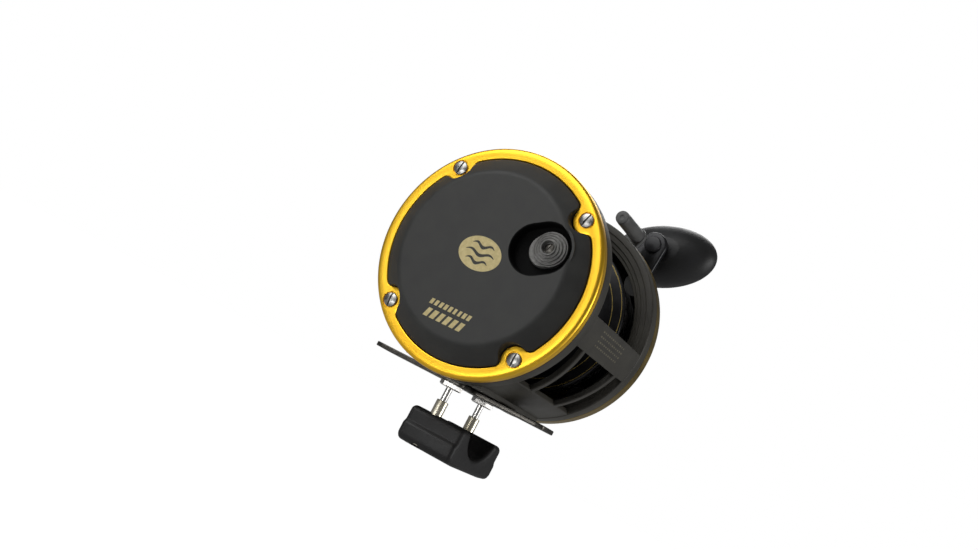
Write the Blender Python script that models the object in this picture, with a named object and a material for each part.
"""Level-wind trolling reel with its rod clamp, modelled piece by piece.

+X points to the rear (the rod's butt), +Y to the handle side, +Z up. The origin is
the middle of the foot's underside, straight below the spool axis. Lengths are in
metres and angles in degrees, measured in the XZ plane from +X towards +Z.
"""
import math

import bmesh
import bpy

# --- Driving dimensions ------------------------------------------------------------
GAP = 0.0003                    # clearance between neighbouring pieces
AXIS_HEIGHT = 0.0423            # spool axis above the foot's underside
WELD = 0.000002                 # points closer than this are one after a Boolean
ROUND = 32                      # steps round a large turned piece
FINE = 14                       # steps round a small turned piece
EAR_STEPS = 12                  # steps round a ring's ear

# frame
FRAME_RADIUS = 0.0420
FRAME_HALF = 0.0334             # from the middle to the outside of an end ring
END_RING = 0.0060               # thickness of an end ring along the axis
FRAME_BORE = 0.0342
RING_STEP_RADIUS = (0.0370, 0.0394)     # two shallow steps on the right end ring
RING_STEP_DEPTH = (0.0013, 0.0006)
WORM_BOSS_LEFT = 0.0051
GUIDE_ROD_BOSS = 0.0037
BAR_WALL = 0.0026               # thickness of the bars that join the end rings
BAR_INSET = 0.0002              # bars stand this far inside the end rings' edge
REAR_BAR = (-17.0, 0.0)
TAIL_BAR = (-68.0, -50.0)
NOSE_BAR = (-130.0, -112.0)
FRONT_LOWER_BAR = (-155.0, -146.0)
FRONT_UPPER_BAR = (146.0, 155.0)
STRUT_TOP = 0.0190              # struts' distance from the middle at the rear bar
STRUT_FOOT = 0.0125             # and at the tail bar
STRUT_WIDTH = 0.0028
PAD_HALF = 0.0165               # half length of the flat pad above the foot
STUD_SEAT = 0.0045              # depth of a stud's end above the foot

# side plates and their rings
RING_FRONT = 0.0044             # height of a ring's face above the frame
RIGHT_RING_FRONT = 0.0061
RING_BORE = 0.0377
FLANGE_RADIUS = 0.0403          # plate flange that the ring clamps
FLANGE_WALL = 0.0015
EAR_RADIUS = 0.0050
SCREW_CIRCLE = 0.0375
SCREW_ANGLES = (45.0, 135.0, 225.0, 315.0)
SCREW_HEAD = 0.0026
SCREW_HEAD_HEIGHT = 0.0013
SCREW_SHANK = 0.0013
PLATE_RISE = 0.0050             # left plate's flat above its ring's face
PLATE_FLAT = 0.0310
PLATE_WALL = 0.0018
PLATE_CAVITY = 0.0300
GEARBOX_FACE = FRAME_HALF + 0.0166   # right plate's outer face
GEARBOX_RADIUS = 0.0366
GEARBOX_FLAT = 0.0330
GEARBOX_CAVITY = 0.0342
EAR_PAD = 0.0069                # right plate's solid round each ear pocket

# spool and its bearings
SPOOL_HALF = FRAME_HALF - 0.0112     # inner faces of the flanges
FLANGE_THICKNESS = 0.0024
SPOOL_RADIUS = 0.0322
ARBOR_RADIUS = 0.0130
SHAFT_RADIUS = 0.0025
JOURNAL_RADIUS = 0.0013
BEARING_RADIUS = 0.0055
BEARING_WIDTH = 0.0030
CAP_RADIUS = 0.0085
LEFT_HUB = FRAME_HALF - 0.0019        # inner end of the left bearing's hub
CLICK_GEAR_TO = LEFT_HUB - 0.0011
CLICK_GEAR_WALL = 0.0016
TONGUE_FROM = LEFT_HUB - 0.0014
TONGUE_WALL = 0.0011

# gears: a fine module for the crank's pair, a coarser one for the level wind
MODULE = 0.0006
LEVEL_MODULE = 0.0009
PRESSURE_ANGLE = 25.0
ADDENDUM = 0.8
DEDENDUM = 1.1
BACKLASH = 0.00016
MAIN_TEETH = 49
PINION_TEETH = 10
LEVEL_TEETH = 22
IDLER_TEETH = 30
WORM_TEETH = 11
MAIN_GEAR_FROM = FRAME_HALF + 0.0078
MAIN_GEAR_TO = MAIN_GEAR_FROM + 0.0038
LEVEL_GEARS_FROM = FRAME_HALF - 0.0032
LEVEL_GEARS_TO = LEVEL_GEARS_FROM + 0.0026
CRANK_ANGLE = -70.0             # where the crank axis lies from the spool axis
DRIVE_RADIUS = 0.0030
DRIVE_FLANGE = 0.0062

# bridge plate, clutch and anti-reverse
BRIDGE_RADIUS = 0.0300
BRIDGE_FROM = FRAME_HALF + 0.0006
BRIDGE_WALL = 0.0016
CLUTCH_TRAVEL = 0.0020
YOKE_FROM = BRIDGE_FROM + 0.0031
HEAD_FROM = BRIDGE_FROM + 0.0002     # pinion's clutch head
HEAD_WALL = 0.0025
TANG_WALL = 0.0014
PINION_END = BRIDGE_FROM + 0.0118
YOKE_POST_END = BRIDGE_FROM + 0.0122
YOKE_WALL = 0.0016
YOKE_POST_X = 0.0100
YOKE_POST_Z = 0.0030
RATCHET_FROM = BRIDGE_FROM + 0.0024
RATCHET_WALL = 0.0016
RATCHET_RADIUS = 0.0080
RATCHET_TEETH = 12
DOG_REACH = 0.0135              # dog pivot from the crank axis
DOG_ANGLE = 190.0

# free-spool lever
LEVER_PIVOT = (-0.0020, 0.0220)
LEVER_PEG = (0.0092, 0.0461)
LEVER_TURN = 40.0
PEG_RADIUS = 0.0029
PEG_TIP = FRAME_HALF - 0.0052
LEVER_WALL = 0.0027

# handle and star
HANDLE_FROM = GEARBOX_FACE + 0.0110
HANDLE_WALL = 0.0032
KNOB_AT = (0.0130, 0.0472)
KNOB_LONG = 0.0470
KNOB_DEEP = 0.0250
KNOB_THICK = 0.0268
KNOB_MIDDLE = HANDLE_FROM + 0.0165
KNOB_TILT = 22.0
SPINDLE_RADIUS = 0.0030
STAR_FROM = GEARBOX_FACE + 0.0050
STAR_WALL = 0.0034
STAR_REACH = 0.0190
STAR_ARMS = 5

# click
CLICK_ANGLE = 30.0
POCKET_MIDDLE = 0.0213
POCKET_LENGTH = 0.0230
POCKET_WIDTH = 0.0185
POCKET_DEPTH = 0.0046
BUTTON_AT = 0.0242
BUTTON_RADIUS = 0.0062
CLICK_TRAVEL = 0.0040
CLICK_TEETH = 16
CLICK_GEAR_RADIUS = 0.0056

# level wind
WORM_AT = (0.0360, 192.0)
GUIDE_ROD_AT = (0.0360, 165.5)
WORM_RADIUS = 0.0019
TUBE_RADIUS = 0.0029
GUIDE_ROD_RADIUS = 0.0015
CARRIAGE_HALF = 0.0050
CARRIAGE_WALL = 0.0036
CARRIAGE_BOSS = 0.0046
ROD_BOSS_WALL = 0.0016
EYE_RADIUS = 0.0033             # half width of the hole for the line eye
EYE_STRAIGHT = 0.0009           # half of its straight height
EYE_WALL = 0.0008

# foot and rod clamp
FOOT_FRONT = -0.0420
FOOT_REAR = 0.0340
FOOT_WIDTH = 0.0160
FOOT_WALL = 0.0017
STUD_X = -0.0010
STUD_Y = 0.0150
STUD_RADIUS = 0.00135
STUD_HEX = 0.0044
STUD_LENGTH = 0.0122
ROD_AXIS = -0.0085              # rod axis below the foot's underside
CLAMP_BORE = 0.0123
CLAMP_LENGTH = 0.0235
CLAMP_MIDDLE = 0.0020           # middle of the clamp along the rod
CLAMP_HALF = 0.0195
CLAMP_TOP = -0.0125
CLAMP_BOTTOM = -0.0262
SLEEVE_RADIUS = 0.0022
SLEEVE_TOP = -0.0071
SLEEVE_HEAD = 0.0034

# --- Derived places ----------------------------------------------------------------
FRAME_INNER = FRAME_HALF - END_RING
PITCH_MAIN = MODULE * MAIN_TEETH / 2
PITCH_PINION = MODULE * PINION_TEETH / 2
CRANK_RADIUS = PITCH_MAIN + PITCH_PINION


def polar(radius, degrees, centre=(0.0, 0.0)):
    """Point (x, z) at a radius and an angle from a centre."""
    turn = math.radians(degrees)
    return centre[0] + radius * math.cos(turn), centre[1] + radius * math.sin(turn)


def bearing_of(start, end):
    """Angle in degrees from one (x, z) point to another."""
    return math.degrees(math.atan2(end[1] - start[1], end[0] - start[0]))


CRANK = polar(CRANK_RADIUS, CRANK_ANGLE)
WORM = polar(*WORM_AT)
GUIDE_ROD = polar(*GUIDE_ROD_AT)


def idler_centre():
    """Idler place that meshes with the crank's level gear and the worm gear."""
    to_crank = LEVEL_MODULE * (LEVEL_TEETH + IDLER_TEETH) / 2
    to_worm = LEVEL_MODULE * (IDLER_TEETH + WORM_TEETH) / 2
    span = math.dist(CRANK, WORM)
    along = (to_crank ** 2 - to_worm ** 2 + span ** 2) / (2 * span)
    aside = math.sqrt(max(to_crank ** 2 - along ** 2, 0.0))
    angle = math.degrees(math.atan2(aside, along))
    return polar(to_crank, bearing_of(CRANK, WORM) - angle, CRANK)


IDLER = idler_centre()


def at_axis(point=(0.0, 0.0)):
    """World location of an (x, z) point given from the spool axis."""
    return point[0], 0.0, AXIS_HEIGHT + point[1]


# --- Materials ---------------------------------------------------------------------
def finish(name, color, roughness, metallic):
    """Principled material with the piece's plain colour."""
    material = bpy.data.materials.new(name)
    material.use_nodes = True
    shader = material.node_tree.nodes["Principled BSDF"]
    shader.inputs["Base Color"].default_value = (*color, 1.0)
    shader.inputs["Roughness"].default_value = roughness
    shader.inputs["Metallic"].default_value = metallic
    return material


for old in list(bpy.data.objects):
    bpy.data.objects.remove(old)

GRAPHITE = finish("graphite", (0.016, 0.016, 0.017), 0.55, 0.0)
GOLD = finish("gold_anodised", (0.90, 0.52, 0.03), 0.28, 1.0)
STEEL = finish("stainless_steel", (0.55, 0.55, 0.54), 0.30, 1.0)
BRASS = finish("brass", (0.72, 0.55, 0.28), 0.32, 1.0)
NICKEL = finish("nickel", (0.66, 0.62, 0.54), 0.25, 1.0)
BLACK_METAL = finish("black_anodised", (0.020, 0.020, 0.022), 0.38, 0.6)
RUBBER = finish("rubber", (0.012, 0.012, 0.013), 0.70, 0.0)
CARBON = finish("carbon_fibre", (0.030, 0.030, 0.032), 0.50, 0.0)
NYLON = finish("grey_nylon", (0.14, 0.14, 0.14), 0.60, 0.0)


# --- Shape helpers -----------------------------------------------------------------
def add(name, bm, material=None, at=(0.0, 0.0, 0.0)):
    """Turn a bmesh into an object with its faces pointing out."""
    bmesh.ops.recalc_face_normals(bm, faces=bm.faces)
    mesh = bpy.data.meshes.new(name)
    bm.to_mesh(mesh)
    bm.free()
    if material:
        mesh.materials.append(material)
    piece = bpy.data.objects.new(name, mesh)
    piece.location = at
    bpy.context.collection.objects.link(piece)
    return piece


def lofted(name, sections, material=None, at=(0.0, 0.0, 0.0)):
    """Solid through equal-length closed sections, closed with a face at each end."""
    bm = bmesh.new()
    rings = [[bm.verts.new(point) for point in section] for section in sections]
    count = len(rings[0])
    for ring, following in zip(rings, rings[1:]):
        for i in range(count):
            j = (i + 1) % count
            bm.faces.new((ring[i], ring[j], following[j], following[i]))
    bm.faces.new(rings[0])
    bm.faces.new(rings[-1])
    return add(name, bm, material, at)


def slab(name, outline, low, high, material=None, at=(0.0, 0.0, 0.0), axis="Y"):
    """Flat outline extruded along an axis from low to high."""
    place = {"X": lambda u, v, w: (w, u, v),
             "Y": lambda u, v, w: (u, w, v),
             "Z": lambda u, v, w: (u, v, w)}[axis]
    sections = [[place(u, v, w) for u, v in outline] for w in (low, high)]
    return lofted(name, sections, material, at)


def turned(name, profile, material=None, at=(0.0, 0.0, 0.0), steps=FINE, axis="Y"):
    """Solid of revolution from (radius, height) points.

    A profile that starts and ends on the axis is solid; any other one is a closed
    loop, which makes a ring.
    """
    bm = bmesh.new()
    place = {"Y": lambda a, b, h: (a, h, b), "Z": lambda a, b, h: (a, b, h)}[axis]
    solid = profile[0][0] == 0.0
    rings = []
    for radius, height in profile:
        if radius == 0.0:
            rings.append([bm.verts.new(place(0.0, 0.0, height))] * steps)
            continue
        points = (polar(radius, 360.0 * i / steps) for i in range(steps))
        rings.append([bm.verts.new(place(a, b, height)) for a, b in points])
    pairs = list(zip(rings, rings[1:]))
    if not solid:
        pairs.append((rings[-1], rings[0]))
    for ring, following in pairs:
        for i in range(steps):
            j = (i + 1) % steps
            corners = (ring[i], ring[j], following[j], following[i])
            bm.faces.new(tuple(dict.fromkeys(corners)))
    return add(name, bm, material, at)


def disc(radius, low, high, at=(0.0, 0.0, 0.0), steps=FINE, axis="Y", name="tool",
         material=None):
    """Plain cylinder, mostly used as a cutter or as a boss."""
    profile = [(0.0, low), (radius, low), (radius, high), (0.0, high)]
    return turned(name, profile, material, at, steps, axis)


def washer(name, bore, radius, low, high, material, at, steps=FINE):
    """Flat ring."""
    profile = [(bore, low), (radius, low), (radius, high), (bore, high)]
    return turned(name, profile, material, at, steps)


def combine(body, tool, operation):
    """Apply one exact Boolean to a body and remove the tool."""
    modifier = body.modifiers.new(operation.lower(), "BOOLEAN")
    modifier.object = tool
    modifier.operation = operation
    modifier.solver = "EXACT"
    graph = bpy.context.evaluated_depsgraph_get()
    mesh = bpy.data.meshes.new_from_object(body.evaluated_get(graph))
    body.modifiers.clear()
    bm = bmesh.new()
    bm.from_mesh(mesh)
    bmesh.ops.remove_doubles(bm, verts=bm.verts, dist=WELD)
    bm.to_mesh(mesh)
    bm.free()
    body.data = mesh
    bpy.data.objects.remove(tool)


def cut(body, *tools):
    """Take each tool away from the body."""
    for tool in tools:
        combine(body, tool, "DIFFERENCE")


def fuse(body, *tools):
    """Join each tool to the body."""
    for tool in tools:
        combine(body, tool, "UNION")


def stadium(middle, length, width, degrees, steps=8):
    """Outline with round ends along a radial line, its middle at a given radius."""
    half = (length - width) / 2
    outline = []
    for end, start in ((half, -90.0), (-half, 90.0)):
        centre = polar(middle + end, degrees)
        for i in range(steps + 1):
            turn = degrees + start + 180.0 * i / steps
            outline.append(polar(width / 2, turn, centre))
    return outline


def circle(radius, centre=(0.0, 0.0), steps=FINE, start=0.0):
    """Points round a circle."""
    return [polar(radius, start + 360.0 * i / steps, centre) for i in range(steps)]


def hull_outline(first, first_radius, second, second_radius, steps=10):
    """Outline of two round ends joined by their outer tangents."""
    heading = bearing_of(first, second)
    lean = math.degrees(math.asin((first_radius - second_radius) / math.dist(first, second)))
    outline = []
    for i in range(steps + 1):
        turn = heading + 90.0 - lean + (180.0 + 2 * lean) * i / steps
        outline.append(polar(first_radius, turn, first))
    for i in range(steps + 1):
        turn = heading - 90.0 + lean + (180.0 - 2 * lean) * i / steps
        outline.append(polar(second_radius, turn, second))
    return outline


# --- Gears -------------------------------------------------------------------------
def gear_outline(teeth, phase, module):
    """Gear outline with involute flanks, one tooth centred on the phase angle.

    Each flank is a chord of its involute, so it never bulges into the mating tooth.
    """
    pressure = math.radians(PRESSURE_ANGLE)
    pitch = module * teeth / 2
    base = pitch * math.cos(pressure)
    root = pitch - DEDENDUM * module
    radii = [max(root, base), pitch + ADDENDUM * module]
    if base - root > 0.1 * module:
        radii.insert(0, root)

    def half_tooth(radius):
        slope = math.acos(min(base / radius, 1.0))
        involute = (math.tan(pressure) - pressure) - (math.tan(slope) - slope)
        return math.pi / (2 * teeth) - BACKLASH / (2 * pitch) + involute

    outline = []
    for k in range(teeth):
        middle = phase + 360.0 * k / teeth
        for radius in radii:
            outline.append(polar(radius, middle - math.degrees(half_tooth(radius))))
        for radius in reversed(radii):
            outline.append(polar(radius, middle + math.degrees(half_tooth(radius))))
    return outline


def meshing_phase(driver_teeth, driver_phase, follower_teeth, driver, follower):
    """Phase that puts a follower's gap on the driver's tooth."""
    heading = bearing_of(driver, follower)
    lag = (driver_phase - heading) * driver_teeth / follower_teeth
    return heading + 180.0 + 180.0 / follower_teeth - lag


def gear(name, teeth, phase, low, high, bore, material, centre, module=LEVEL_MODULE):
    """Spur gear with a round bore."""
    outline = gear_outline(teeth, phase, module)
    wheel = slab(name, outline, low, high, material, at_axis(centre))
    cut(wheel, disc(bore, low - 0.001, high + 0.001, at_axis(centre)))
    return wheel


# --- Frame -------------------------------------------------------------------------
def arc_bar(span, low, high, wall=BAR_WALL, radius=FRAME_RADIUS - BAR_INSET):
    """Curved bar between two angles on the frame's circle."""
    start, end = span
    steps = max(2, round((end - start) / 6.0))
    turns = [start + (end - start) * i / steps for i in range(steps + 1)]
    outer = [polar(radius, turn) for turn in turns]
    inner = [polar(radius - wall, turn) for turn in reversed(turns)]
    return slab("tool", outer + inner, low, high, at=at_axis())


def strut(side):
    """Slanting bar from the rear bar down to the tail bar."""
    start, end = REAR_BAR[0] + 1.5, TAIL_BAR[1] - 1.5
    sections = []
    for i in range(7):
        share = i / 6
        turn = start + (end - start) * share
        middle = side * (STRUT_TOP + (STRUT_FOOT - STRUT_TOP) * share)
        section = []
        for radius, offset in ((-BAR_WALL, -1), (-BAR_WALL, 1), (0.0, 1), (0.0, -1)):
            x, z = polar(FRAME_RADIUS - 0.0002 + radius * 0.8, turn)
            section.append((x, middle + offset * STRUT_WIDTH / 2, z))
        sections.append(section)
    return lofted("tool", sections, at=at_axis())


def end_ring(side):
    """One end ring; the right one has shallow steps on its face towards the spool."""
    inner = FRAME_INNER
    profile = [(FRAME_RADIUS, inner), (FRAME_RADIUS, FRAME_HALF), (FRAME_BORE, FRAME_HALF)]
    if side > 0:
        (deep, shallow), (near, far) = RING_STEP_DEPTH, RING_STEP_RADIUS
        profile += [(FRAME_BORE, inner + deep), (near, inner + deep),
                    (far, inner + shallow), (far, inner)]
    else:
        profile.append((FRAME_BORE, inner))
    return turned("tool", [(radius, side * y) for radius, y in profile],
                  at=at_axis(), steps=ROUND)


def build_frame():
    """One-piece frame: two end rings, bars, struts and the pad above the foot."""
    frame = end_ring(-1)
    frame.name = "frame"
    frame.data.materials.append(GRAPHITE)
    reach = FRAME_INNER + 0.0012
    fuse(frame, end_ring(1))
    for span in (REAR_BAR, TAIL_BAR, NOSE_BAR, FRONT_LOWER_BAR, FRONT_UPPER_BAR):
        fuse(frame, arc_bar(span, -reach, reach))
    pad_low = FOOT_WALL + GAP - AXIS_HEIGHT
    pad_top = (FRAME_RADIUS - BAR_WALL) * math.sin(math.radians(TAIL_BAR[0])) + 0.0007
    pad = [(-PAD_HALF, pad_low), (PAD_HALF, pad_low), (PAD_HALF - 0.0010, pad_top),
           (-PAD_HALF + 0.0010, pad_top)]
    fuse(frame, slab("tool", pad, -reach, reach, at=at_axis()), strut(-1), strut(1))
    worm_boss = LEVEL_MODULE * (WORM_TEETH / 2 + ADDENDUM) + 0.0018
    low, high = FRAME_INNER + 0.0001, FRAME_HALF - 0.0001
    fuse(frame, disc(worm_boss, low, high, at_axis(WORM), 20),
         disc(WORM_BOSS_LEFT, -high, -low, at_axis(WORM), 14),
         disc(GUIDE_ROD_BOSS, low, high, at_axis(GUIDE_ROD), 12),
         disc(GUIDE_ROD_BOSS, -high, -low, at_axis(GUIDE_ROD), 12))
    cut_level_wind_pockets(frame)
    for side in (-1, 1):
        for turn in SCREW_ANGLES:
            cut(frame, frame_screw_hole(side, turn))
        stud_top = FOOT_WALL + STUD_SEAT - 0.0006
        cut(frame, disc(0.0020 + GAP, -0.001, stud_top, (STUD_X, side * STUD_Y, 0.0),
                        16, "Z"))


def frame_screw_hole(side, turn):
    """Blind hole for a ring screw."""
    low, high = sorted((side * (FRAME_HALF + 0.001), side * (FRAME_HALF - 0.0048)))
    return disc(SCREW_SHANK + GAP, low, high, at_axis(polar(SCREW_CIRCLE, turn)), 8)


def cut_level_wind_pockets(frame):
    """Room for the idler and worm gears, and bores for the worm tube and guide rod."""
    floor = LEVEL_GEARS_FROM - 0.0004
    top = FRAME_HALF + 0.001
    for teeth, centre in ((IDLER_TEETH, IDLER), (WORM_TEETH, WORM)):
        tip = LEVEL_MODULE * (teeth / 2 + ADDENDUM)
        cut(frame, disc(tip + 2 * GAP, floor, top, at_axis(centre), 28))
    left_end = -(FRAME_HALF - 0.0020)
    cut(frame, disc(WORM_RADIUS + GAP, left_end, floor + 0.001, at_axis(WORM), 16),
        disc(TUBE_RADIUS + GAP, -(FRAME_INNER + 0.0020), FRAME_INNER + 0.0010,
             at_axis(WORM), 16),
        disc(GUIDE_ROD_RADIUS + GAP, -(FRAME_INNER + 0.0030), FRAME_INNER + 0.0030,
             at_axis(GUIDE_ROD), 12))


# --- Side plates, rings and screws -------------------------------------------------
def ear_outline(turn, radius):
    """Round ear on the screw circle, kept inside the ring's outer edge."""
    outline = []
    limit = FRAME_RADIUS - 0.0012
    for x, z in circle(radius, polar(SCREW_CIRCLE, turn), EAR_STEPS, turn):
        shrink = min(1.0, limit / math.hypot(x, z))
        outline.append((x * shrink, z * shrink))
    return outline


def side_ring(name, side, front):
    """Anodised ring that clamps a side plate with four screw ears."""
    back = FRAME_HALF + GAP
    face = FRAME_HALF + front
    seat = back + FLANGE_WALL + GAP
    profile = [(FLANGE_RADIUS + GAP, back), (FRAME_RADIUS, back),
               (FRAME_RADIUS, face - 0.0007), (FRAME_RADIUS - 0.0008, face),
               (RING_BORE, face), (RING_BORE, seat), (FLANGE_RADIUS + GAP, seat)]
    ring = turned(name, [(radius, side * y) for radius, y in profile], GOLD, at_axis(),
                  ROUND)
    low, high = sorted((side * (seat + 0.00002), side * (face - 0.0005)))
    for turn in SCREW_ANGLES:
        fuse(ring, slab("tool", ear_outline(turn, EAR_RADIUS), low, high, at=at_axis()))
        spot_low, spot_high = sorted((side * (face - 0.0006), side * (face + 0.001)))
        cut(ring, disc(SCREW_HEAD + GAP, spot_low, spot_high,
                       at_axis(polar(SCREW_CIRCLE, turn)), EAR_STEPS))
        hole_low, hole_high = sorted((side * back, side * (face + 0.001)))
        cut(ring, disc(SCREW_SHANK + GAP, hole_low, hole_high,
                       at_axis(polar(SCREW_CIRCLE, turn)), 8))


def ring_screw(name, side, turn, front, slot_angle):
    """Slotted round-head screw through a ring's ear, the plate and the frame."""
    seat = FRAME_HALF + front - 0.0006 + GAP
    top = seat + SCREW_HEAD_HEIGHT
    tip = FRAME_HALF - 0.0044
    profile = [(0.0, top), (SCREW_HEAD * 0.62, top - 0.0001),
               (SCREW_HEAD, top - SCREW_HEAD_HEIGHT * 0.6), (SCREW_HEAD, seat),
               (SCREW_SHANK, seat), (SCREW_SHANK, tip), (0.0, tip)]
    centre = polar(SCREW_CIRCLE, turn)
    screw = turned(name, [(radius, side * y) for radius, y in profile], STEEL,
                   at_axis(centre), 10)
    width = 0.0007
    length = SCREW_HEAD * 1.3
    slot = []
    for along, across in ((-1, -1), (1, -1), (1, 1), (-1, 1)):
        x, z = polar(along * length, slot_angle)
        dx, dz = polar(across * width / 2, slot_angle + 90.0)
        slot.append((x + dx, z + dz))
    low, high = sorted((side * (top - 0.0007), side * (top + 0.001)))
    cut(screw, slab("tool", slot, low, high, at=at_axis(centre)))


def cut_ear_pockets(plate, side, front):
    """Round pockets for the ring's ears, and the screw holes in their floors."""
    floor = FRAME_HALF + GAP + FLANGE_WALL
    for turn in SCREW_ANGLES:
        centre = at_axis(polar(SCREW_CIRCLE, turn))
        low, high = sorted((side * floor, side * (front + 0.001)))
        cut(plate, disc(EAR_RADIUS + GAP, low, high, centre, EAR_STEPS))
        low, high = sorted((side * FRAME_HALF, side * (front + 0.001)))
        cut(plate, disc(SCREW_SHANK + GAP, low, high, centre, 8))


def build_left_plate():
    """Left cover with the click pocket and the seat of the left bearing."""
    back = FRAME_HALF + GAP
    seat = back + FLANGE_WALL
    ring_face = FRAME_HALF + RING_FRONT
    face = ring_face + PLATE_RISE
    inside = face - PLATE_WALL
    rim = RING_BORE - GAP
    hub = BEARING_RADIUS + 0.0018
    hub_end = LEFT_HUB
    bore = BEARING_RADIUS + GAP
    bore_floor = hub_end + 0.0007 + BEARING_WIDTH + 0.0006
    profile = [(0.0, face), (PLATE_FLAT, face), (rim, ring_face), (rim, seat),
               (FLANGE_RADIUS, seat), (FLANGE_RADIUS, back), (PLATE_CAVITY, back),
               (PLATE_CAVITY, inside), (hub, inside), (hub, hub_end), (bore, hub_end),
               (bore, bore_floor), (0.0, bore_floor)]
    plate = turned("left_plate", [(radius, -y) for radius, y in profile], GRAPHITE,
                   at_axis(), ROUND)
    floor = face - POCKET_DEPTH
    tub = stadium(POCKET_MIDDLE, POCKET_LENGTH + 2 * PLATE_WALL,
                  POCKET_WIDTH + 2 * PLATE_WALL, CLICK_ANGLE)
    limit = PLATE_CAVITY + 0.0008
    tub = [(x * min(1.0, limit / math.hypot(x, z)), z * min(1.0, limit / math.hypot(x, z)))
           for x, z in tub]
    fuse(plate, slab("tool", tub, -(face - 0.0009), -(floor - 0.0016), at=at_axis()))
    pocket = stadium(POCKET_MIDDLE, POCKET_LENGTH, POCKET_WIDTH, CLICK_ANGLE, 12)
    slot = stadium(BUTTON_AT - CLICK_TRAVEL / 2, CLICK_TRAVEL + 0.0034, 0.0034,
                   CLICK_ANGLE, 6)
    cut(plate, slab("tool", pocket, -(face + 0.001), -floor, at=at_axis()),
        slab("tool", slot, -(floor + 0.001), -(floor - 0.003), at=at_axis()))
    cut_ear_pockets(plate, -1, face)
    return floor


def build_right_plate():
    """Gear cover with seats for the right bearing, crank, lever and worm."""
    back = FRAME_HALF + GAP
    seat = back + FLANGE_WALL
    inside = GEARBOX_FACE - PLATE_WALL
    boss = BEARING_RADIUS + 0.0014
    boss_face = GEARBOX_FACE + 0.0018
    rim = RING_BORE - GAP
    ring_face = FRAME_HALF + RIGHT_RING_FRONT
    profile = [(0.0, boss_face), (boss, boss_face), (boss, GEARBOX_FACE),
               (GEARBOX_FLAT, GEARBOX_FACE), (GEARBOX_RADIUS - 0.0008, GEARBOX_FACE - 0.0024),
               (GEARBOX_RADIUS, ring_face + 0.0020), (rim, ring_face), (rim, seat),
               (FLANGE_RADIUS, seat), (FLANGE_RADIUS, back), (GEARBOX_CAVITY, back),
               (GEARBOX_CAVITY, ring_face + 0.0060), (GEARBOX_FLAT - 0.0014, inside),
               (0.0, inside)]
    plate = turned("right_plate", profile, GRAPHITE, at_axis(), ROUND)
    for turn in SCREW_ANGLES:
        outline = []
        for x, z in circle(EAR_PAD, polar(SCREW_CIRCLE, turn), EAR_STEPS, turn):
            shrink = min(1.0, (GEARBOX_RADIUS - 0.0010) / math.hypot(x, z))
            outline.append((x * shrink, z * shrink))
        fuse(plate, slab("tool", outline, back + 0.0002, inside + 0.0004, at=at_axis()))
    cut_ear_pockets(plate, 1, GEARBOX_FACE)
    bearing_floor = inside + 0.0006
    cut(plate, disc(BEARING_RADIUS + GAP, bearing_floor, boss_face + 0.001, at_axis(), 24),
        disc(JOURNAL_RADIUS + 0.0012, inside - 0.001, bearing_floor + 0.001, at_axis(), 16),
        disc(DRIVE_RADIUS + 2 * GAP, inside - 0.001, GEARBOX_FACE + 0.001,
             at_axis(CRANK), 20),
        disc(0.0018 + GAP, inside - 0.001, GEARBOX_FACE + 0.001, at_axis(LEVER_PIVOT), 16))


# --- Spool -------------------------------------------------------------------------
def build_spool():
    """Spool, its shaft with the clutch tang, the click gear and both bearings."""
    outer = SPOOL_HALF + FLANGE_THICKNESS
    bore = SHAFT_RADIUS + GAP
    right = [(ARBOR_RADIUS, SPOOL_HALF), (SPOOL_RADIUS, SPOOL_HALF), (SPOOL_RADIUS, outer),
             (SPOOL_RADIUS - 0.0030, outer), (SPOOL_RADIUS - 0.0044, outer - 0.0010),
             (bore, outer - 0.0010)]
    left = [(radius, -y) for radius, y in reversed(right)]
    turned("spool", right + left, BLACK_METAL, at_axis(), ROUND)

    left_end = -(LEFT_HUB + 0.0040)
    step = -(LEFT_HUB - 0.0003)
    right_end = GEARBOX_FACE + 0.0012
    neck = BRIDGE_FROM + 0.0020
    shaft = turned("spool_shaft",
                   [(0.0, left_end), (0.0020, left_end), (0.0020, step),
                    (SHAFT_RADIUS, step), (SHAFT_RADIUS, neck),
                    (JOURNAL_RADIUS, neck), (JOURNAL_RADIUS, right_end), (0.0, right_end)],
                   STEEL, at_axis(), 24)
    pin = [(-0.0041, -0.0008), (0.0041, -0.0008), (0.0041, 0.0008), (-0.0041, 0.0008)]
    fuse(shaft, slab("tool", pin, HEAD_FROM, HEAD_FROM + TANG_WALL, at=at_axis()))

    outline = []
    for k in range(CLICK_TEETH):
        for share, radius in ((0.0, CLICK_GEAR_RADIUS - 0.0009), (0.5, CLICK_GEAR_RADIUS)):
            outline.append(polar(radius, 360.0 * (k + share) / CLICK_TEETH))
    low, high = -CLICK_GEAR_TO, -CLICK_GEAR_TO + CLICK_GEAR_WALL
    wheel = slab("click_gear", outline, low, high, STEEL, at_axis())
    cut(wheel, disc(bore, low - 0.001, high + 0.001, at_axis()))

    bearing("left_bearing", -(LEFT_HUB + 0.0037), 0.0020 + GAP)
    bearing("right_bearing", GEARBOX_FACE - PLATE_WALL + 0.0006 + GAP / 3, JOURNAL_RADIUS + GAP)


def bearing(name, low, bore):
    """Shielded ball bearing as one ring."""
    high = low + BEARING_WIDTH - 0.0002
    washer(name, bore, BEARING_RADIUS, low, high, STEEL, at_axis(), 16)


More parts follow.
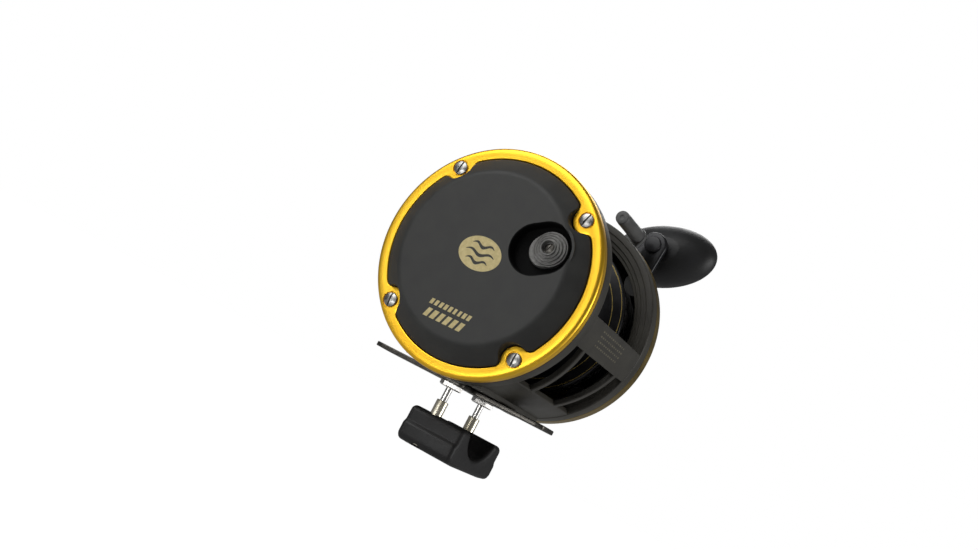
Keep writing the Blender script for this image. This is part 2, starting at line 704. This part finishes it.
def build_bearing_cap():
    """Screwed cap over the right bearing."""
    bore = BEARING_RADIUS + 0.0014 + GAP
    low = GEARBOX_FACE + GAP
    inside = GEARBOX_FACE + 0.0018 + GAP
    face = inside + 0.0016
    outline = circle(CAP_RADIUS, steps=20)
    outline = [(x * (1.0 if i % 2 else 0.965), z * (1.0 if i % 2 else 0.965))
               for i, (x, z) in enumerate(outline)]
    cap = slab("bearing_cap", outline, low, face, BLACK_METAL, at_axis())
    cut(cap, disc(bore, low - 0.001, inside, at_axis(), 24),
        slab("tool", [(-0.0048, -0.0006), (0.0048, -0.0006), (0.0048, 0.0006),
                      (-0.0048, 0.0006)], face - 0.0007, face + 0.001, at=at_axis()))


# --- Click -------------------------------------------------------------------------
def build_click(pocket_floor):
    """Click button with its screw, the tongue on its stem and the hairpin spring."""
    centre = polar(BUTTON_AT, CLICK_ANGLE)
    place = at_axis(centre)
    low = pocket_floor + GAP
    base = low + 0.0014
    steps = 5
    ridge = (BUTTON_RADIUS - 0.0030) / steps
    stem_end = TONGUE_FROM - 0.0003
    profile = [(0.0, stem_end), (0.0012, stem_end), (0.0012, low), (BUTTON_RADIUS, low),
               (BUTTON_RADIUS, base)]
    for k in range(steps):
        radius = BUTTON_RADIUS - ridge * (k + 0.35)
        height = base + 0.0007 * (k + 1)
        profile.append((radius, height))
        profile.append((radius - ridge * 0.5, height - 0.00025))
    top = base + 0.0007 * steps
    profile += [(0.0026, top), (0.0024, top - 0.0014), (0.0, top - 0.0014)]
    button = turned("click_button", [(radius, -y) for radius, y in profile], NYLON, place)
    heel = stadium(-0.0010, 2 * BUTTON_RADIUS + 0.0020, 2 * BUTTON_RADIUS - 0.0004,
                   CLICK_ANGLE)
    fuse(button, slab("tool", heel, -(base - 0.0001), -(low + 0.0001), at=place))
    screw_seat = top - 0.0014 + GAP
    disc(0.0019, -(screw_seat + 0.0007), -screw_seat, place, 12, "Y", "click_screw", STEEL)

    tip = CLICK_GEAR_RADIUS + CLICK_TRAVEL + GAP
    half = 0.0028
    outline = []
    for radial, across in ((BUTTON_AT + 0.0030, -half), (BUTTON_AT + 0.0030, half),
                           (tip + 0.0030, half), (tip, 0.0004), (tip, -0.0004),
                           (tip + 0.0030, -half)):
        x, z = polar(radial - BUTTON_AT, CLICK_ANGLE)
        dx, dz = polar(across, CLICK_ANGLE + 90.0)
        outline.append((x + dx, z + dz))
    low, high = -(TONGUE_FROM + TONGUE_WALL), -TONGUE_FROM
    tongue = slab("click_tongue", outline, low, high, STEEL, place)
    cut(tongue, disc(0.0012 + GAP, low - 0.001, high + 0.001, place, 12))

    wire = []
    for i in range(13):
        turn = CLICK_ANGLE + 90.0 + 180.0 * i / 12
        wire.append(polar(0.0042, turn, polar(BUTTON_AT - 0.0060, CLICK_ANGLE)))
    wire = [polar(BUTTON_AT + 0.0030, CLICK_ANGLE + 11.0)] + wire
    wire.append(polar(BUTTON_AT + 0.0030, CLICK_ANGLE - 11.0))
    level = low - 0.0014
    wire_piece("click_spring", [(x, level, z) for x, z in wire], 0.00035, at_axis())


def wire_piece(name, points, radius, at):
    """Round wire along a list of points."""
    curve = bpy.data.curves.new(name, "CURVE")
    curve.dimensions = "3D"
    curve.bevel_depth = radius
    curve.bevel_resolution = 1
    curve.render_resolution_u = 0
    curve.use_fill_caps = True
    spline = curve.splines.new("POLY")
    spline.points.add(len(points) - 1)
    for slot, point in zip(spline.points, points):
        slot.co = (*point, 1.0)
    curve.materials.append(STEEL)
    wire = bpy.data.objects.new(name, curve)
    wire.location = at
    bpy.context.collection.objects.link(wire)


# --- Gear train --------------------------------------------------------------------
def build_bridge():
    """Steel plate that carries the crank, the idler, the yoke posts and the dog."""
    high = BRIDGE_FROM + BRIDGE_WALL
    bridge = disc(BRIDGE_RADIUS, BRIDGE_FROM, high, at_axis(), 30, "Y", "bridge_plate",
                  STEEL)
    cut(bridge, disc(0.0052, BRIDGE_FROM - 0.001, high + 0.001, at_axis(), 20),
        disc(DRIVE_RADIUS + GAP, BRIDGE_FROM - 0.001, high + 0.001, at_axis(CRANK), 20))
    for x in (-YOKE_POST_X, YOKE_POST_X):
        post = at_axis((x, YOKE_POST_Z))
        fuse(bridge, disc(0.0010, high - 0.0002, YOKE_POST_END, post, 8))
    dog_post = at_axis(polar(DOG_REACH, DOG_ANGLE, CRANK))
    idler_end = LEVEL_GEARS_FROM - 0.0002
    fuse(bridge, disc(0.0012, high - 0.0002, high + 0.0030, dog_post, 10),
         disc(0.0016, idler_end, BRIDGE_FROM + 0.0002, at_axis(IDLER), 12))


def build_train():
    """Main gear, pinion, level-wind gears, ratchet and dog."""
    main = gear("main_gear", MAIN_TEETH, CRANK_ANGLE, MAIN_GEAR_FROM, MAIN_GEAR_TO,
                DRIVE_RADIUS + GAP, BRASS, CRANK, MODULE)
    cut(main, disc(0.0108, MAIN_GEAR_FROM + 0.0010, MAIN_GEAR_TO + 0.001,
                   at_axis(CRANK), 24))
    build_pinion()
    level_phase = bearing_of(CRANK, IDLER)
    gear("level_gear", LEVEL_TEETH, level_phase, LEVEL_GEARS_FROM, LEVEL_GEARS_TO,
         DRIVE_RADIUS + GAP, NYLON, CRANK)
    idler_phase = meshing_phase(LEVEL_TEETH, level_phase, IDLER_TEETH, CRANK, IDLER)
    gear("idler_gear", IDLER_TEETH, idler_phase, LEVEL_GEARS_FROM, LEVEL_GEARS_TO,
         0.0016 + GAP, NYLON, IDLER)
    worm_phase = meshing_phase(IDLER_TEETH, idler_phase, WORM_TEETH, IDLER, WORM)
    gear("worm_gear", WORM_TEETH, worm_phase, LEVEL_GEARS_FROM, LEVEL_GEARS_TO,
         0.0012 + GAP, NYLON, WORM)

    outline = []
    for k in range(RATCHET_TEETH):
        turn = 360.0 * k / RATCHET_TEETH
        outline.append(polar(RATCHET_RADIUS, turn))
        outline.append(polar(RATCHET_RADIUS - 0.0016, turn + 3.0))
    low, high = RATCHET_FROM, RATCHET_FROM + RATCHET_WALL
    ratchet = slab("ratchet", outline, low, high, STEEL, at_axis(CRANK))
    cut(ratchet, disc(DRIVE_RADIUS + GAP, low - 0.001, high + 0.001, at_axis(CRANK)))

    pivot = polar(DOG_REACH, DOG_ANGLE, CRANK)
    heading = DOG_ANGLE - 180.0 + 47.0
    tip = polar(0.0088, heading)
    outline = hull_outline((0.0, 0.0), 0.0024, tip, 0.0008, 6)
    dog = slab("dog", outline, low, high, STEEL, at_axis(pivot))
    cut(dog, disc(0.0012 + GAP, low - 0.001, high + 0.001, at_axis(pivot), 12))


def build_pinion():
    """Sliding pinion: clutch head with a cross slot, neck for the yoke, and teeth."""
    head_low, head_high = HEAD_FROM, HEAD_FROM + HEAD_WALL
    teeth_low, teeth_high = YOKE_FROM + YOKE_WALL + 0.0004, PINION_END
    phase = meshing_phase(MAIN_TEETH, CRANK_ANGLE, PINION_TEETH, CRANK, (0.0, 0.0))
    pinion = slab("pinion", gear_outline(PINION_TEETH, phase, MODULE), teeth_low, teeth_high,
                  BRASS, at_axis())
    fuse(pinion, disc(0.0024, head_high - 0.0003, teeth_low + 0.0003, at_axis(), 20),
         disc(0.0046, head_low, head_high, at_axis(), 24))
    slot = [(-0.0060, -0.0011), (0.0060, -0.0011), (0.0060, 0.0011), (-0.0060, 0.0011)]
    cut(pinion, disc(SHAFT_RADIUS + GAP, head_low - 0.001, head_high - 0.0004,
                     at_axis(), 20),
        disc(JOURNAL_RADIUS + GAP, head_low - 0.001, teeth_high + 0.001, at_axis(), 16),
        slab("tool", slot, head_low - 0.001, head_low + TANG_WALL + GAP, at=at_axis()))


def build_crank():
    """Drive shaft with its gear seat, and the drag washers stacked on the main gear."""
    seat = MAIN_GEAR_FROM - GAP
    high = HANDLE_FROM + HANDLE_WALL + 0.0040
    place = at_axis(CRANK)
    inner_end = LEVEL_GEARS_FROM - 0.0006
    flange = RATCHET_FROM + RATCHET_WALL + 0.0004
    turned("drive_shaft", [(0.0, inner_end), (DRIVE_RADIUS, inner_end),
                           (DRIVE_RADIUS, flange), (DRIVE_FLANGE, flange),
                           (DRIVE_FLANGE, seat), (DRIVE_RADIUS, seat),
                           (DRIVE_RADIUS, high), (0.0, high)], STEEL, place, 16)
    low = MAIN_GEAR_FROM + 0.0010 + GAP
    bore = DRIVE_RADIUS + GAP
    for name, wall, material in (("drag_washer_carbon_1", 0.0005, CARBON),
                                 ("drag_washer_steel", 0.0006, STEEL),
                                 ("drag_washer_carbon_2", 0.0005, CARBON),
                                 ("pressure_washer", 0.0012, STEEL)):
        washer(name, bore, 0.0104, low, low + wall, material, place, 16)
        low += wall + GAP


def build_clutch():
    """Yoke that slides the pinion, its two springs, and the lever with its cam."""
    fork = 0.0024 + 2 * GAP
    pivot_x, pivot_z = LEVER_PIVOT
    stem_top = pivot_z - 0.0018 - 2 * GAP
    outline = [(-YOKE_POST_X - 0.0026, 0.0006), (-fork - 0.0018, -0.0040), (-fork, -0.0040)]
    outline += [polar(fork, turn) for turn in range(180, -1, -20)]
    outline += [(fork, -0.0040), (fork + 0.0018, -0.0040), (YOKE_POST_X + 0.0026, 0.0006),
                (YOKE_POST_X + 0.0026, 0.0054), (0.0030, 0.0074),
                (pivot_x + 0.0022, 0.0100), (pivot_x + 0.0022, stem_top),
                (pivot_x - 0.0022, stem_top), (pivot_x - 0.0022, 0.0100), (-0.0050, 0.0074),
                (-YOKE_POST_X - 0.0026, 0.0054)]
    high = YOKE_FROM + YOKE_WALL
    yoke = slab("yoke", outline, YOKE_FROM, high, STEEL, at_axis())
    for index, x in enumerate((-YOKE_POST_X, YOKE_POST_X), start=1):
        post = (x, YOKE_POST_Z)
        cut(yoke, disc(0.0010 + GAP, YOKE_FROM - 0.001, high + 0.001, at_axis(post), 12))
        yoke_spring(f"yoke_spring_{index}", post, high + CLUTCH_TRAVEL + GAP)
    build_cam()


def yoke_spring(name, post, low):
    """Compression spring round a yoke post, shown pressed to its working length."""
    high = GEARBOX_FACE - PLATE_WALL - GAP
    wire = 0.0003
    turns, steps = 2.5, 8
    points = []
    count = int(turns * steps)
    for i in range(count + 1):
        x, z = polar(0.0017, 360.0 * i / steps)
        points.append((x, low + wire + (high - low - 2 * wire) * i / count, z))
    wire_piece(name, points, wire, at_axis(post))


def build_cam():
    """Cam under the yoke's stem: a disc with a ramp that rises by the clutch travel."""
    place = at_axis(LEVER_PIVOT)
    floor = BRIDGE_FROM + BRIDGE_WALL + GAP
    deck = YOKE_FROM - 0.0004
    outer, inner = 0.0060, 0.0030
    top = GEARBOX_FACE + GAP + LEVER_WALL + 0.0008
    cam = turned("free_spool_cam", [(0.0, floor), (outer, floor), (outer, deck),
                                    (0.0018, deck), (0.0018, top), (0.0, top)],
                 STEEL, place, 24)
    stem_half = math.degrees(math.asin(0.0022 / inner))
    toe = -90.0 - stem_half - 4.0
    sections = []
    steps = 8
    for i in range(steps + 3):
        turn = toe - LEVER_TURN * i / steps
        rise = CLUTCH_TRAVEL * min(i / steps, 1.0) + 0.00001
        section = []
        for radius, height in ((inner, -0.0002), (outer - 0.0001, -0.0002),
                               (outer - 0.0001, rise), (inner, rise)):
            x, z = polar(radius, turn)
            section.append((x, deck + height, z))
        sections.append(section)
    fuse(cam, lofted("tool", sections, at=place))
    build_lever(place)


def build_lever(place):
    """Thumb lever on the cam's square end, with the round peg over the ring."""
    low = GEARBOX_FACE + GAP
    high = low + LEVER_WALL
    peg = (LEVER_PEG[0] - LEVER_PIVOT[0], LEVER_PEG[1] - LEVER_PIVOT[1])
    outline = hull_outline((0.0, 0.0), 0.0052, peg, PEG_RADIUS + 0.0006, 8)
    lever = slab("free_spool_lever", outline, low, high, BLACK_METAL, place)
    peg_place = at_axis(LEVER_PEG)
    tip = turned("tool", [(0.0, PEG_TIP), (PEG_RADIUS * 0.7, PEG_TIP + 0.0006),
                          (PEG_RADIUS, PEG_TIP + 0.0022), (PEG_RADIUS, high - 0.0004),
                          (0.0, high - 0.0004)], at=peg_place, steps=16)
    fuse(lever, tip)
    cut(lever, disc(0.0018 + GAP, low - 0.001, high + 0.001, place, 16))


# --- Handle ------------------------------------------------------------------------
def build_star():
    """Star-shaped drag wheel on the drive shaft."""
    outline = []
    steps = 4
    for arm in range(STAR_ARMS):
        middle = 90.0 + 360.0 * arm / STAR_ARMS
        outline.append(polar(0.0062, middle - 180.0 / STAR_ARMS))
        centre = polar(STAR_REACH - 0.0030, middle)
        for i in range(steps + 1):
            outline.append(polar(0.0030, middle - 90.0 + 180.0 * i / steps, centre))
    low = GEARBOX_FACE + 0.0010
    high = STAR_FROM + STAR_WALL
    star = slab("star_drag", outline, STAR_FROM, high, BLACK_METAL, at_axis(CRANK))
    fuse(star, disc(0.0058, low, high + 0.0010, at_axis(CRANK), 16))
    cut(star, disc(DRIVE_RADIUS + GAP, low - 0.001, high + 0.002, at_axis(CRANK)))


def build_handle():
    """Handle arm, its nut and lock screw, the knob's spindle and the knob."""
    place = at_axis(CRANK)
    high = HANDLE_FROM + HANDLE_WALL
    reach = (KNOB_AT[0] - CRANK[0], KNOB_AT[1] - CRANK[1])
    heading = bearing_of((0.0, 0.0), reach)
    outline = hull_outline((0.0, 0.0), 0.0080, reach, 0.0056, 10)
    arm = slab("handle_arm", outline, HANDLE_FROM, high, BLACK_METAL, place)
    tail = polar(0.0130, heading + 180.0)
    fuse(arm, slab("tool", hull_outline((0.0, 0.0), 0.0078, tail, 0.0048, 8),
                   HANDLE_FROM + 0.0001, high - 0.0001, at=place))
    lock = polar(0.0098, heading)
    cut(arm, disc(DRIVE_RADIUS + GAP, HANDLE_FROM - 0.001, high + 0.001, place, 20),
        disc(0.0011 + GAP, HANDLE_FROM - 0.001, high + 0.001, offset(place, lock), 12),
        disc(SPINDLE_RADIUS - 0.0006 + GAP, HANDLE_FROM - 0.001, high + 0.001,
             at_axis(KNOB_AT), 16))
    nut_low, nut_high = high + GAP, high + 0.0054
    nut = turned("handle_nut", [(0.0, nut_high), (0.0040, nut_high - 0.0002),
                                (0.0062, nut_low + 0.0034), (0.0062, nut_low),
                                (0.0, nut_low)], NICKEL, place, 6)
    cut(nut, disc(DRIVE_RADIUS + GAP, nut_low - 0.001, high + 0.0040 + GAP, place, 20))
    turned("nut_lock_screw", [(0.0, HANDLE_FROM + 0.0002), (0.0011, HANDLE_FROM + 0.0002),
                              (0.0011, high + GAP), (0.0022, high + GAP),
                              (0.0018, high + 0.0014), (0.0, high + 0.0014)],
           STEEL, offset(place, lock), 12)
    build_knob(high)


def build_knob(arm_face):
    """Riveted spindle and the long oval knob that turns on it."""
    place = at_axis(KNOB_AT)
    end = KNOB_MIDDLE + KNOB_DEEP / 2
    rivet = SPINDLE_RADIUS - 0.0006
    turned("knob_spindle", [(0.0, HANDLE_FROM - 0.0010), (0.0036, HANDLE_FROM - 0.0010),
                            (0.0036, HANDLE_FROM - GAP), (rivet, HANDLE_FROM - GAP),
                            (rivet, arm_face + GAP), (0.0042, arm_face + GAP),
                            (0.0042, arm_face + 0.0012), (SPINDLE_RADIUS, arm_face + 0.0012),
                            (SPINDLE_RADIUS, end - 0.0030), (0.0, end - 0.0030)],
           STEEL, place, 16)
    start = arm_face + 0.0018
    steps, around = 8, 16
    sections = []
    for i in range(steps + 1):
        share = i / steps
        y = start + (end - start) * share
        swell = math.sqrt(max(1.0 - ((y - KNOB_MIDDLE) / (KNOB_DEEP / 2 + 0.0004)) ** 2, 0.04))
        if y < KNOB_MIDDLE:
            swell = max(swell, 0.34)
        section = []
        for j in range(around):
            turn = 2 * math.pi * j / around
            u = KNOB_LONG / 2 * swell * math.cos(turn)
            v = KNOB_THICK / 2 * swell * math.sin(turn)
            x, z = polar(u, KNOB_TILT)
            dx, dz = polar(v, KNOB_TILT + 90.0)
            section.append((x + dx, y, z + dz))
        sections.append(section)
    knob = lofted("handle_knob", sections, RUBBER, place)
    cut(knob, disc(SPINDLE_RADIUS + GAP, start - 0.001, end - 0.0026, place, 16))


def offset(place, shift):
    """Location moved by an (x, z) shift."""
    return place[0] + shift[0], place[1], place[2] + shift[1]


# --- Level wind --------------------------------------------------------------------
def build_level_wind():
    """Worm, tube, guide rod and the carriage with its eye, pawl and cap."""
    left, right = -(FRAME_HALF - 0.0024), LEVEL_GEARS_TO
    turned("worm_shaft", [(0.0, left), (WORM_RADIUS, left), (WORM_RADIUS, LEVEL_GEARS_FROM - GAP),
                          (0.0012, LEVEL_GEARS_FROM - GAP), (0.0012, right), (0.0, right)],
           STEEL, at_axis(WORM), 16)
    end = FRAME_INNER + 0.0007
    bore = WORM_RADIUS + GAP
    tube = turned("worm_tube", [(bore, -end), (TUBE_RADIUS, -end), (TUBE_RADIUS, end),
                                (bore, end)], STEEL, at_axis(WORM), 16)
    window = [(-0.0050, -0.0013), (0.0, -0.0013), (0.0, 0.0013), (-0.0050, 0.0013)]
    travel = SPOOL_HALF - 0.0006
    cut(tube, slab("tool", window, -travel, travel, at=at_axis(WORM)))
    disc(GUIDE_ROD_RADIUS, -(FRAME_INNER + 0.0026), FRAME_INNER + 0.0026,
         at_axis(GUIDE_ROD), 12, "Y", "guide_rod", STEEL)
    build_carriage()


def build_carriage():
    """Carriage on the tube and rod, with a chrome line eye between them."""
    place = at_axis(WORM)
    rod = (GUIDE_ROD[0] - WORM[0], GUIDE_ROD[1] - WORM[1])
    half = CARRIAGE_HALF
    carriage = disc(CARRIAGE_BOSS, -half, half, place, 14, "Y", "line_carriage", GRAPHITE)
    wall = CARRIAGE_WALL / 2
    web = [(-wall, 0.0), (wall, 0.0), (rod[0] + wall, rod[1]), (rod[0] - wall, rod[1])]
    fuse(carriage, slab("tool", web, -half + 0.0001, half - 0.0001, at=place),
         disc(GUIDE_ROD_RADIUS + ROD_BOSS_WALL, -half, half, offset(place, rod), 16))
    fuse(carriage, slab("tool", [(-0.0064, -0.0026), (-0.0020, -0.0026), (-0.0020, 0.0026),
                                 (-0.0064, 0.0026)], -0.0026, 0.0026, at=place))
    eye = (rod[0] / 2, (rod[1] + CARRIAGE_BOSS - GUIDE_ROD_RADIUS - ROD_BOSS_WALL) / 2)
    hole = eye_outline(EYE_RADIUS, EYE_STRAIGHT, eye)
    cut(carriage, disc(TUBE_RADIUS + GAP, -half - 0.001, half + 0.001, place, 16),
        disc(GUIDE_ROD_RADIUS + GAP, -half - 0.001, half + 0.001, offset(place, rod), 12),
        slab("tool", hole, -0.02, 0.02, at=place, axis="X"),
        x_disc(0.0015 + GAP, -0.0090, 0.0, place))
    flare = wall + 0.0007
    insert = slab("guide_insert", eye_outline(EYE_RADIUS - GAP, EYE_STRAIGHT, eye),
                  eye[0] - flare, eye[0] + flare, NICKEL, place, "X")
    cut(insert, slab("tool", eye_outline(EYE_RADIUS - EYE_WALL, EYE_STRAIGHT, eye),
                     -0.02, 0.02, at=place, axis="X"))
    tip = -(WORM_RADIUS + GAP)
    pawl = x_disc(0.0012, -0.0058, tip, place)
    pawl.name = "pawl"
    pawl.data.materials.append(BRASS)
    cap = x_disc(0.0024, -0.0078, -0.0064 - GAP, place)
    cap.name = "pawl_cap"
    cap.data.materials.append(BRASS)


def eye_outline(half_width, half_height, eye):
    """Upright rounded slot as (y, z) points; half_height is its straight half."""
    outline = []
    for sign in (1, -1):
        for i in range(7):
            turn = math.radians(180.0 * i / 6)
            outline.append((sign * half_width * math.cos(turn),
                            eye[1] + sign * (half_height + half_width * math.sin(turn))))
    return outline


def x_disc(radius, low, high, at):
    """Cylinder along X."""
    return slab("tool", circle(radius, steps=14), low, high, at=at, axis="X")


# --- Foot and rod clamp ------------------------------------------------------------
def build_foot():
    """Stamped foot whose raised side ears take the clamp studs."""
    half = FOOT_WIDTH / 2
    toe = half * 0.72
    outline = [(FOOT_FRONT, -toe), (FOOT_FRONT + 0.0030, -toe - 0.0010),
               (-0.0170, -half), (0.0170, -half), (FOOT_REAR - 0.0030, -toe - 0.0010),
               (FOOT_REAR, -toe)]
    outline += [(x, -y) for x, y in reversed(outline)]
    foot = slab("foot", outline, 0.0, FOOT_WALL, STEEL, axis="Z")
    reach = STUD_Y + 0.0042
    ear = [(STUD_X - 0.0060, -reach), (STUD_X + 0.0060, -reach), (STUD_X + 0.0060, reach),
           (STUD_X - 0.0060, reach)]
    fuse(foot, slab("tool", ear, 0.0005, FOOT_WALL - 0.0001, axis="Z"))
    for side in (-1, 1):
        cut(foot, disc(0.0020 + GAP, -0.001, 0.003, (STUD_X, side * STUD_Y, 0.0), 16, "Z"))


def build_clamp():
    """Cradle under the rod, its two studs and the sleeve nuts that draw it up."""
    rise = CLAMP_TOP - ROD_AXIS
    lip = math.degrees(math.asin(rise / CLAMP_BORE))
    steps = 16
    arc = []
    for i in range(steps + 1):
        turn = -180.0 - lip + (180.0 + 2 * lip) * i / steps
        arc.append(polar(CLAMP_BORE, turn, (0.0, ROD_AXIS)))
    side = [(CLAMP_HALF, CLAMP_TOP), (CLAMP_HALF, CLAMP_BOTTOM + 0.0030),
            (CLAMP_HALF - 0.0016, CLAMP_BOTTOM + 0.0008), (0.0120, CLAMP_BOTTOM)]
    outline = arc + side + [(-y, z) for y, z in reversed(side)]
    low = CLAMP_MIDDLE - CLAMP_LENGTH / 2
    clamp = slab("rod_clamp", outline, low, low + CLAMP_LENGTH, GRAPHITE, axis="X")
    head_seat = CLAMP_BOTTOM + 0.0036
    for index, y in enumerate((-STUD_Y, STUD_Y), start=1):
        place = (STUD_X, y, 0.0)
        cut(clamp, disc(SLEEVE_RADIUS + GAP, -0.040, 0.0, place, 16, "Z"),
            disc(SLEEVE_HEAD + GAP, -0.040, head_seat, place, 20, "Z"))
        head_low = CLAMP_BOTTOM + 0.0010
        turned(f"clamp_nut_{index}",
               [(0.0, head_low), (SLEEVE_HEAD - 0.0005, head_low),
                (SLEEVE_HEAD, head_low + 0.0005), (SLEEVE_HEAD, head_seat - GAP),
                (SLEEVE_RADIUS, head_seat - GAP), (SLEEVE_RADIUS, SLEEVE_TOP),
                (STUD_RADIUS + GAP, SLEEVE_TOP), (STUD_RADIUS + GAP, -STUD_LENGTH - 0.0008),
                (0.0, -STUD_LENGTH - 0.0008)], BRASS, place, 16, "Z")
        stud_top = FOOT_WALL + STUD_SEAT - 0.0009
        stud = turned(f"clamp_stud_{index}",
                      [(0.0, -STUD_LENGTH), (STUD_RADIUS, -STUD_LENGTH),
                       (STUD_RADIUS, -0.0010), (0.0020, -0.0010), (0.0020, stud_top),
                       (0.0, stud_top)], NICKEL, place, 16, "Z")
        fuse(stud, slab("tool", circle(STUD_HEX, steps=6, start=15.0), -0.0020, 0.0002,
                        at=place, axis="Z"))


# --- Assembly ----------------------------------------------------------------------
def build_reel():
    """Build every piece in its place."""
    build_frame()
    pocket_floor = build_left_plate()
    build_right_plate()
    slot_angles = {-1: (8.0, 62.0, -20.0, 75.0), 1: (35.0, 80.0, 15.0, -40.0)}
    for label, side, front in (("left", -1, RING_FRONT), ("right", 1, RIGHT_RING_FRONT)):
        side_ring(f"{label}_ring", side, front)
        for index, turn in enumerate(SCREW_ANGLES, start=1):
            ring_screw(f"{label}_screw_{index}", side, turn, front,
                       slot_angles[side][index - 1])
    build_spool()
    build_bearing_cap()
    build_click(pocket_floor)
    build_bridge()
    build_train()
    build_crank()
    build_clutch()
    build_star()
    build_handle()
    build_level_wind()
    build_foot()
    build_clamp()
    for piece in bpy.data.objects:
        if piece.type == "MESH":
            piece.data.shade_smooth()
            piece.data.set_sharp_from_angle(angle=math.radians(35.0))


build_reel()
